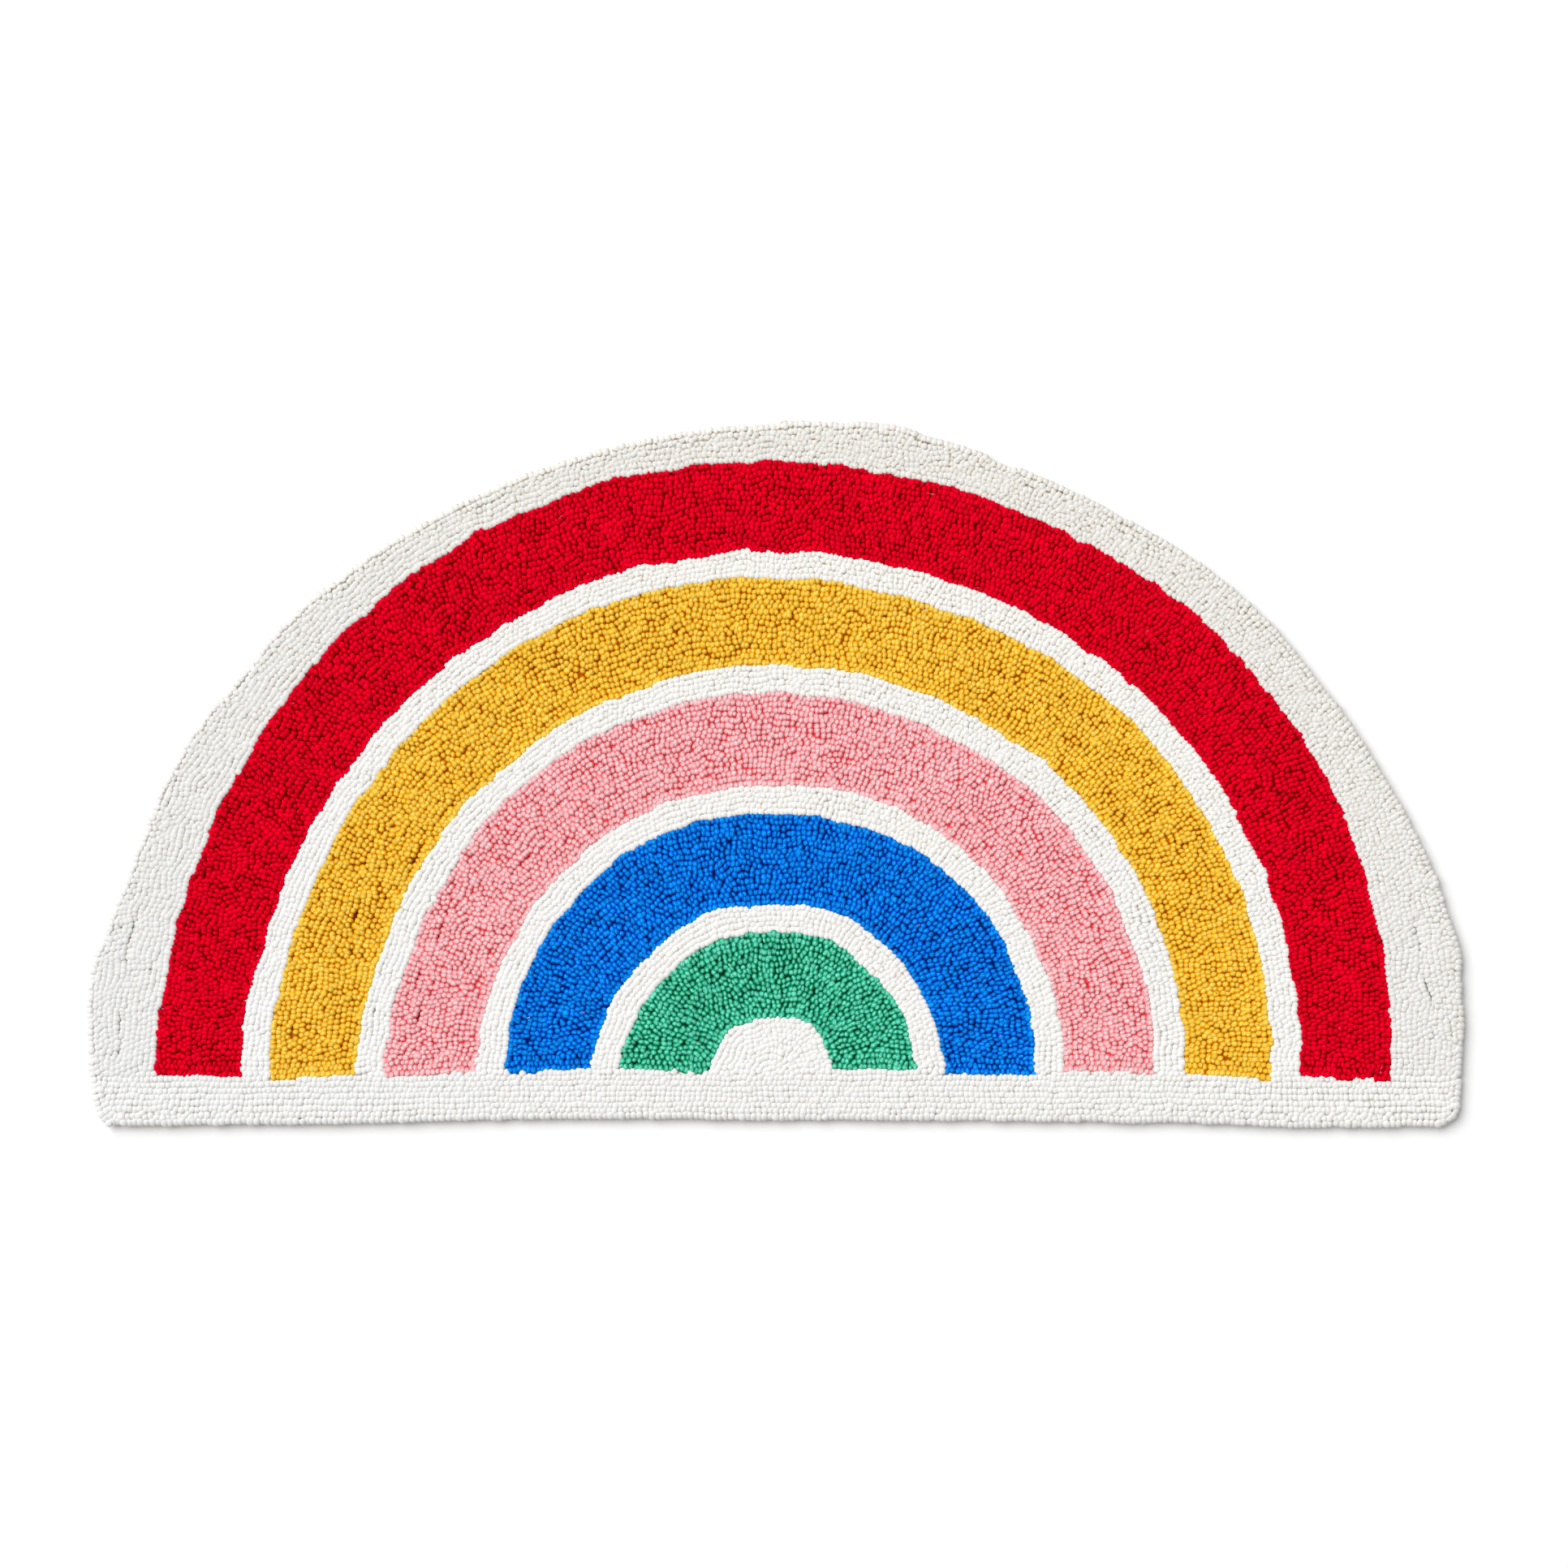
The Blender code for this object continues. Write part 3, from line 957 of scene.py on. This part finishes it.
for wisp in WISPS:
    add_wisp(*wisp)
spots = [loop for loop in loops[:in_rows] if loop["zone"] in FEET]
for _speck in range(SPECKS):
    spot = chance.choice(spots)
    add_wisp(spot["x"], spot["y"], chance.uniform(0, 180), chance.uniform(1.6, 3.2), "pink wisps")
members_of = defaultdict(list)
for loop in loops:
    members_of[loop["zone"]].append(loop)
piles = {}
for zone, members in members_of.items():
    piles[zone] = make_pile(zone.replace(" ", "_"), members)
    piles[zone].data.calc_loop_triangles()
    print(f"{zone}: {len(members)} loops, {len(piles[zone].data.loop_triangles)} triangles")
for shape in loop_shapes:
    bpy.data.objects.remove(shape)

# %% [markdown]
# ## The foundation cloth
#
# Under the loops lies a firm cotton cloth, with its edge turned under. It only shows as tiny specks
# between the loops, and from below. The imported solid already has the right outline, so a copy of it
# is pressed flat to the thickness of the cloth and drawn in a little, to let the loops hang over.

# %% Cloth from a copy of the solid
CLOTH_TOP = 2.2 * MM
CLOTH_INSET = 2.2 * MM
RIM_REACH = 425.0 * MM  # points farther out than this are on the rim


def pressed_copy(name, top, inset):
    """A copy of the solid, merged, pressed flat to a height and drawn in all round."""
    make_active(rug)
    bpy.ops.object.duplicate()
    copy = bpy.context.object
    copy.name = copy.data.name = name
    copy.parent = None
    for key in list(copy.keys()):
        del copy[key]
    bpy.ops.object.mode_set(mode="EDIT")
    bpy.ops.mesh.select_all(action="SELECT")
    bpy.ops.mesh.remove_doubles(threshold=0.00001)
    bpy.ops.mesh.normals_make_consistent(inside=False)
    select_points(copy, lambda co: co.z > top)
    bpy.ops.transform.resize(value=(1.0, 1.0, 0.0), center_override=(0.0, 0.0, top))
    bpy.ops.mesh.select_all(action="SELECT")
    shrink = [1 - 2 * inset / side for side in rug.dimensions[:2]]
    bpy.ops.transform.resize(value=(*shrink, 1.0), center_override=(0.0, 0.0, 0.0))
    follow_bulges(copy)
    return copy


def follow_bulges(obj):
    """In edit mode, draws the rim in wherever the outline of the pile draws in."""
    mesh = bmesh.from_edit_mesh(obj.data)
    for point in mesh.verts:
        place = point.co - RAINBOW
        reach = math.hypot(place.x, place.y)
        if place.y > 0 and reach > RIM_REACH:
            push = min(bulge(math.atan2(place.y, place.x) / math.pi), 0.0)
            point.co += Vector((place.x, place.y, 0.0)) * (push * MM / reach)
    bmesh.update_edit_mesh(obj.data)


cloth = pressed_copy("foundation_cloth", CLOTH_TOP, CLOTH_INSET)
bpy.ops.object.mode_set(mode="OBJECT")
print("cloth", [round(side / MM, 1) for side in cloth.dimensions], "mm")

# %% [markdown]
# ## The legs of the loops
#
# Under the crowns the legs of the loops stand packed side by side, and fill the space down to the
# cloth. Nobody sees a single leg, only a soft bed of yarn at the bottom of the creases. So the legs are
# one bed for the whole rug: again a copy of the solid, pressed down to the height where the crowns
# part. Its top is divided finely, so that it can rise and fall with the pile and sink at the furrows.

# %% Bed of legs
BED_TOP = 5.9 * MM
BED_LIFT = {"off_white": 1.3, "mustard": 0.3, "pink": 0.5}  # mm, where the loops close up higher
BED_INSET = 3.4 * MM
BED_CUTS, FURROW_CUTS = 2, 2
BED_SINK = 2.2  # the bed sinks more than the crowns in a furrow


def select_faces(obj, wanted):
    """In edit mode, selects the faces of the bed's top whose middle the test wants."""
    bpy.ops.mesh.select_mode(type="FACE")
    bpy.ops.mesh.select_all(action="DESELECT")
    mesh = bmesh.from_edit_mesh(obj.data)
    for face in mesh.faces:
        middle = face.calc_center_median()
        face.select_set(middle.z > BED_TOP - 0.1 * MM and wanted((middle - RAINBOW) / MM))
    bmesh.update_edit_mesh(obj.data)


def make_bed():
    bed = pressed_copy("loop_legs", BED_TOP, BED_INSET)
    select_points(bed, lambda co: co.z < CLOTH_TOP)
    bpy.ops.transform.resize(value=(1.0, 1.0, 0.0), center_override=(0.0, 0.0, CLOTH_TOP))
    select_faces(bed, lambda place: True)
    bpy.ops.mesh.subdivide(number_cuts=BED_CUTS)
    select_faces(bed, lambda place: any(furrow_push(place.x, place.y)[:2]))
    bpy.ops.mesh.subdivide(number_cuts=FURROW_CUTS)
    bpy.ops.mesh.select_mode(type="VERT")
    bpy.ops.object.mode_set(mode="OBJECT")
    for point in bed.data.vertices:
        if point.co.z > BED_TOP - 0.1 * MM:
            place = (point.co - RAINBOW) / MM
            sink = furrow_push(place.x, place.y)[2]
            rise = TOP_UNEVEN * wander(place.x, place.y, TOP_WAVE, 9.1)
            yarn = YARN_OF.get(zone_at(place.x, place.y), "off_white")
            point.co.z += (rise + BED_LIFT.get(yarn, 0.0) - BED_SINK * sink) * MM
    bed.data.calc_loop_triangles()
    return bed


bed = make_bed()
print("bed of legs", len(bed.data.loop_triangles), "triangles")

# %% [markdown]
# ## Spun yarn
#
# Every colour is the same yarn in another dye, so the yarn is one node group with the dye's colours
# as inputs. Light and shade are painted into that colour: a blend of three colours by the height on
# the loop, mostly a lighter crown as painted light and a deeper foot as painted shade. Two more
# patterns lie over it, the plies that run over the crown, with painted shade in their grooves, and
# the fuzz of the fibres. The same two make the bump.

# %% Yarn node group
def new_group(name, inputs, outputs):
    tree = bpy.data.node_groups.new(name, "ShaderNodeTree")
    for label, kind, value in inputs:
        socket = tree.interface.new_socket(name=label, in_out="INPUT", socket_type=kind)
        if value is not None:
            socket.default_value = value
    for label, kind in outputs:
        tree.interface.new_socket(name=label, in_out="OUTPUT", socket_type=kind)
    return tree, put(tree, "NodeGroupInput").outputs, put(tree, "NodeGroupOutput").inputs


def math_node(tree, operation, a, b=0.0):
    return put(tree, "ShaderNodeMath", {"operation": operation}, in_0=a, in_1=b).outputs[0]


def add(tree, a, b):
    return math_node(tree, "ADD", a, b)


def times(tree, a, b):
    return math_node(tree, "MULTIPLY", a, b)


def mix_colours(tree, share, a, b, blend="MIX"):
    settings = {"data_type": "RGBA", "blend_type": blend}
    return put(tree, "ShaderNodeMix", settings, in_0=share, in_6=a, in_7=b).outputs[2]


def spun_yarn():
    number, colour, vector = "NodeSocketFloat", "NodeSocketColor", "NodeSocketVector"
    tree, given, result = new_group(
        "spun yarn",
        (
            ("Lie", vector, None),
            ("Tone", number, 0.0),
            ("Crown", colour, None),
            ("Body", colour, None),
            ("Foot", colour, None),
            ("Ply pitch", number, 1.15),
            ("Ply groove shade", number, 0.28),
            ("Fuzz", number, 0.2),
            ("Tone spread", number, 0.15),
        ),
        (("Colour", colour), ("Roughness", number), ("Height", number)),
    )
    height = put(tree, "ShaderNodeSeparateXYZ", Vector=given["Lie"]).outputs["Z"]
    own = vector_math(tree, "SCALE", (53.0, 31.0, 17.0), scale=given["Tone"]).outputs["Vector"]
    place = vector_math(tree, "ADD", given["Lie"], own).outputs["Vector"]
    soft = put(tree, "ShaderNodeTexNoise", Vector=place, Scale=0.9, Detail=2.0)
    fuzz = put(tree, "ShaderNodeTexNoise", Vector=place, Scale=3.2, Detail=3.0, Roughness=0.7)
    fuzz = fuzz.outputs["Fac"]
    uneven = spread(tree, soft.outputs["Fac"], start=-1.0)
    level = add(tree, height, uneven)
    # Painted light and shade: the foot colour low on the loop, the crown colour high on it
    low = spread(tree, level, 4.2, 6.5, kind="SMOOTHSTEP")
    high = spread(tree, level, 6.2, 7.5, kind="SMOOTHSTEP")
    dye_and_painted_light = mix_colours(tree, low, given["Foot"], given["Body"])
    dye_and_painted_light = mix_colours(tree, high, dye_and_painted_light, given["Crown"])

    twist = put(tree, "ShaderNodeMapping", Vector=place, Rotation=(0.0, 0.0, math.radians(24)))
    across = put(tree, "ShaderNodeSeparateXYZ", Vector=twist.outputs["Vector"]).outputs["X"]
    bent = add(tree, across, times(tree, uneven, 0.35))
    turns = math_node(tree, "DIVIDE", times(tree, bent, math.tau), given["Ply pitch"])
    wave = math_node(tree, "SINE", turns)
    ply = spread(tree, wave, -1.0, 0.4)

    fibres = spread(tree, fuzz, 0.3, 0.7, start=-1.0)
    # Painted shade: the grooves between the plies are darker in the colour.
    bright = times(tree, math_node(tree, "SUBTRACT", ply, 1.0), given["Ply groove shade"])
    bright = add(tree, bright, times(tree, fibres, given["Fuzz"]))
    bright = add(tree, bright, times(tree, given["Tone"], given["Tone spread"]))
    bright = add(tree, bright, 1.0)
    grey = put(tree, "ShaderNodeCombineColor", in_0=bright, in_1=bright, in_2=bright).outputs["Color"]
    shown = mix_colours(tree, 1.0, dye_and_painted_light, grey, "MULTIPLY")
    rough = spread(tree, fuzz, start=0.72, end=0.98)
    bump = add(tree, times(tree, ply, 0.6), times(tree, fuzz, 0.8))
    tree.links.new(shown, result["Colour"])
    tree.links.new(rough, result["Roughness"])
    tree.links.new(bump, result["Height"])
    return tree


yarn_group = spun_yarn()
print("yarn group has", len(yarn_group.nodes), "nodes")

# %% [markdown]
# ## Dyed yarns
#
# Wool hardly shines, and its fuzz catches light at a flat angle in the yarn's own colour. So the
# shader has almost no specular and a little tinted sheen. The off-white ground also has faint tan
# dust in its creases, mixed in where the place on the loop is far from its axis, and the same tan
# paints shade in those creases. The photograph shows more of it, and a creamier ground, towards the
# top and the right.

# %% Yarn materials
# Columns: crown, body and foot colour of a loop, and of the imported legs below, as screen colours.
# How they differ is painted light and shade: mostly a lighter crown, and a deeper foot and legs.
DYES = {
    "off_white": ((237, 237, 237), (240, 239, 235), (240, 234, 222), (240, 233, 217)),
    "red": ((255, 0, 50), (232, 0, 30), (182, 0, 4), (152, 0, 0)),
    "mustard": ((255, 228, 110), (253, 186, 4), (216, 124, 0), (196, 96, 0)),
    "pink": ((255, 222, 224), (255, 158, 163), (255, 76, 86), (250, 66, 76)),
    "blue": ((20, 174, 255), (4, 110, 242), (0, 50, 158), (0, 38, 126)),
    "green": ((132, 244, 214), (0, 174, 126), (0, 94, 52), (0, 70, 38)),
}


# Tan of the dust in the off-white ground's creases, which also stands for their painted shade
DUST_AND_CREASE_SHADE = (176, 148, 104)  # in the creases of the off-white ground
CREAM = (239, 236, 230)  # the ground's crowns where the rug is a little darker, at the top
# The ply grooves' painted shade, fuzz and tone spread, where a dye needs others than the group's own
PLIES = {
    "off_white": (0.05, 0.05, 0.05),
    "mustard": (0.14, 0.15, 0.10),
    "pink": (0.09, 0.10, 0.08),
    "blue": (0.36, 0.24, 0.15),
}


def dress(tree, shader, colour, rough, height, relief, depth):
    """Wires colour and roughness to the shader, and a bump made from the height."""
    bump = put(tree, "ShaderNodeBump", Height=height, Strength=relief, Distance=depth)
    tree.links.new(colour, shader.inputs["Base Color"])
    tree.links.new(rough, shader.inputs["Roughness"])
    tree.links.new(bump.outputs["Normal"], shader.inputs["Normal"])


def yarn_material(name):
    material, tree, shader = new_material(name + " yarn")
    crown, body, foot = (colour_of(*colour) for colour in DYES[name][:3])
    lie = put(tree, "ShaderNodeAttribute", {"attribute_name": "lie"}).outputs["Vector"]
    yarn = put(
        tree,
        "ShaderNodeGroup",
        {"node_tree": yarn_group},
        Lie=lie,
        Tone=put(tree, "ShaderNodeAttribute", {"attribute_name": "tone"}).outputs["Fac"],
        Crown=(*crown, 1.0),
        Body=(*body, 1.0),
        Foot=(*foot, 1.0),
    )
    for label, value in zip(("Ply groove shade", "Fuzz", "Tone spread"), PLIES.get(name, ())):
        yarn.inputs[label].default_value = value
    shown = yarn.outputs["Colour"]
    if name == "off_white":
        place = put(tree, "ShaderNodeTexCoord").outputs["Object"]
        dust = put(tree, "ShaderNodeTexNoise", Vector=place, Scale=480.0, Detail=1.0)
        dust_and_crease_shade = spread(tree, dust.outputs["Fac"], 0.52, 0.64)
        parts = put(tree, "ShaderNodeSeparateXYZ", Vector=place).outputs
        up = add(tree, parts["Y"], times(tree, parts["X"], 0.25))
        # Towards the top and the right the ground's crowns are a little darker and creamier, and dustier.
        toward_top_right = spread(tree, up, -0.3, 0.22)
        creamy = mix_colours(tree, toward_top_right, (*crown, 1.0), (*colour_of(*CREAM), 1.0))
        tree.links.new(creamy, yarn.inputs["Crown"])
        flat = vector_math(tree, "MULTIPLY", lie, (1.0, 1.0, 0.0)).outputs["Vector"]
        out = vector_math(tree, "LENGTH", flat).outputs["Value"]
        dust_and_crease_shade = times(tree, dust_and_crease_shade, add(tree, toward_top_right, 0.15))
        top = spread(tree, parts["Z"], 6.6 * MM, 7.6 * MM)
        # Painted shade and dust: tan kept to the flanks round each crown, high on the pile, where the
        # creases are.
        crease = times(tree, spread(tree, out, 1.2, 2.0), top)
        dust_and_crease_shade = times(tree, dust_and_crease_shade, times(tree, crease, 0.75))
        shown = mix_colours(tree, dust_and_crease_shade, shown, (*colour_of(*DUST_AND_CREASE_SHADE), 1.0))
    relief = 0.3 if name == "off_white" else 0.7
    dress(tree, shader, shown, yarn.outputs["Roughness"], yarn.outputs["Height"], relief, 0.3 * MM)
    shader.inputs["Specular IOR Level"].default_value = 0.03
    shader.inputs["Sheen Weight"].default_value = 0.05 if name == "off_white" else 0.15
    shader.inputs["Sheen Roughness"].default_value = 0.6
    shader.inputs["Sheen Tint"].default_value = (*crown, 1.0)
    material.diffuse_color = (*body, 1.0)
    return material


yarns = {name: yarn_material(name) for name in DYES}
for zone, pile in piles.items():
    pile.data.materials.clear()
    pile.data.materials.append(yarns[YARN_OF.get(zone, "off_white")])
print("yarns", ", ".join(yarns))

# %% [markdown]
# ## Legs and cotton foundation
#
# The bed of legs takes the dye of the yarn above it, face by face, in an attribute named dye. That
# colour is deeper than the loops' as painted shade among the legs, and darker still in the furrows as
# painted shade. The cloth is a plain weave of unbleached cotton. Two waves at right angles make the
# threads, one for the warp and one for the weft, and a checker of the two decides which one lies on
# top.

# %% Colours of the legs, and weave
def paint_bed():
    """Gives every face of the bed the legs' colour of the yarn that stands over it, which is deeper as
    painted shade, and darker in the furrows as painted shade.
    """
    mesh = bed.data
    dye = mesh.attributes.new("dye", "FLOAT_COLOR", "CORNER")
    for face in mesh.polygons:
        place = (face.center - RAINBOW) / MM
        # The legs' colour is deeper than the loops' colour: painted shade among the legs.
        legs_colour = colour_of(*DYES[YARN_OF.get(zone_at(place.x, place.y), "off_white")][3])
        for corner in face.loop_indices:
            place = (mesh.vertices[mesh.loops[corner].vertex_index].co - RAINBOW) / MM
            # Painted shade: darker where a furrow sinks the bed.
            shade = 1.0 - 0.85 * min(furrow_push(place.x, place.y)[2], 1.0)
            dye.data[corner].color = (*(shade * channel for channel in legs_colour), 1.0)


def plain_weave():
    number, colour, vector = "NodeSocketFloat", "NodeSocketColor", "NodeSocketVector"
    tree, given, result = new_group(
        "plain weave",
        (
            ("Place", vector, None),
            ("Thread", number, 1.2),
            ("Light", colour, None),
            ("Dark", colour, None),
        ),
        (("Colour", colour), ("Roughness", number), ("Height", number)),
    )
    parts = put(tree, "ShaderNodeSeparateXYZ", Vector=given["Place"])
    waves = []
    for axis in ("X", "Y"):
        turns = times(tree, parts.outputs[axis], math.pi / MM)
        waves.append(math_node(tree, "SINE", math_node(tree, "DIVIDE", turns, given["Thread"])))
    over = times(tree, waves[0], waves[1])
    thread = math_node(tree, "ABSOLUTE", over)
    slub = put(tree, "ShaderNodeTexNoise", Vector=given["Place"], Scale=400.0, Detail=3.0)
    shade = add(tree, times(tree, thread, 0.6), times(tree, slub.outputs["Fac"], 0.5))
    tree.links.new(mix_colours(tree, shade, given["Dark"], given["Light"]), result["Colour"])
    tree.links.new(spread(tree, slub.outputs["Fac"], start=0.8), result["Roughness"])
    tree.links.new(add(tree, thread, times(tree, over, 0.4)), result["Height"])
    return tree


CHAFF = (176, 152, 108)  # plant specks among the legs

paint_bed()
legs, tree, shader = new_material("packed yarn legs")
place = put(tree, "ShaderNodeTexCoord").outputs["Object"]
clumps = put(tree, "ShaderNodeTexNoise", Vector=place, Scale=650.0, Detail=3.0)
flecks = put(tree, "ShaderNodeTexNoise", Vector=place, Scale=300.0, Detail=1.0)
# The dye attribute holds the legs' colour with its painted shade.
dye = put(tree, "ShaderNodeAttribute", {"attribute_name": "dye"}).outputs["Color"]
shade = spread(tree, clumps.outputs["Fac"], 0.3, 0.7, 0.75, 1.1)
grey = put(tree, "ShaderNodeCombineColor", in_0=shade, in_1=shade, in_2=shade)
shown = mix_colours(tree, 1.0, dye, grey.outputs["Color"], "MULTIPLY")
chaff = spread(tree, flecks.outputs["Fac"], 0.60, 0.66)
shown = mix_colours(tree, chaff, shown, (*colour_of(*CHAFF), 1.0), "MULTIPLY")
rough = spread(tree, flecks.outputs["Fac"], start=0.85)
dress(tree, shader, shown, rough, clumps.outputs["Fac"], 0.8, 0.6 * MM)
shader.inputs["Specular IOR Level"].default_value = 0.03
bed.data.materials.clear()
bed.data.materials.append(legs)

cotton, tree, shader = new_material("cotton foundation")
weave = put(
    tree,
    "ShaderNodeGroup",
    {"node_tree": plain_weave()},
    Place=put(tree, "ShaderNodeTexCoord").outputs["Object"],
    Light=(*colour_of(214, 198, 166), 1.0),
    Dark=(*colour_of(150, 132, 98), 1.0),
)
dress(tree, shader, *(weave.outputs[name] for name in ("Colour", "Roughness", "Height")), 0.6, 0.4 * MM)
shader.inputs["Specular IOR Level"].default_value = 0.1
cloth.data.materials.clear()
cloth.data.materials.append(cotton)
print("cloth faces", len(cloth.data.polygons))

# %% [markdown]
# ## The pieces on the rug's body
#
# Every piece rides on the rug's one body and stands for the imported solid.

for zone, pile in piles.items():
    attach(pile, "root")
    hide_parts("rug")
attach(bed, "root")
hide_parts("rug")
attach(cloth, "root")
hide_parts("rug")
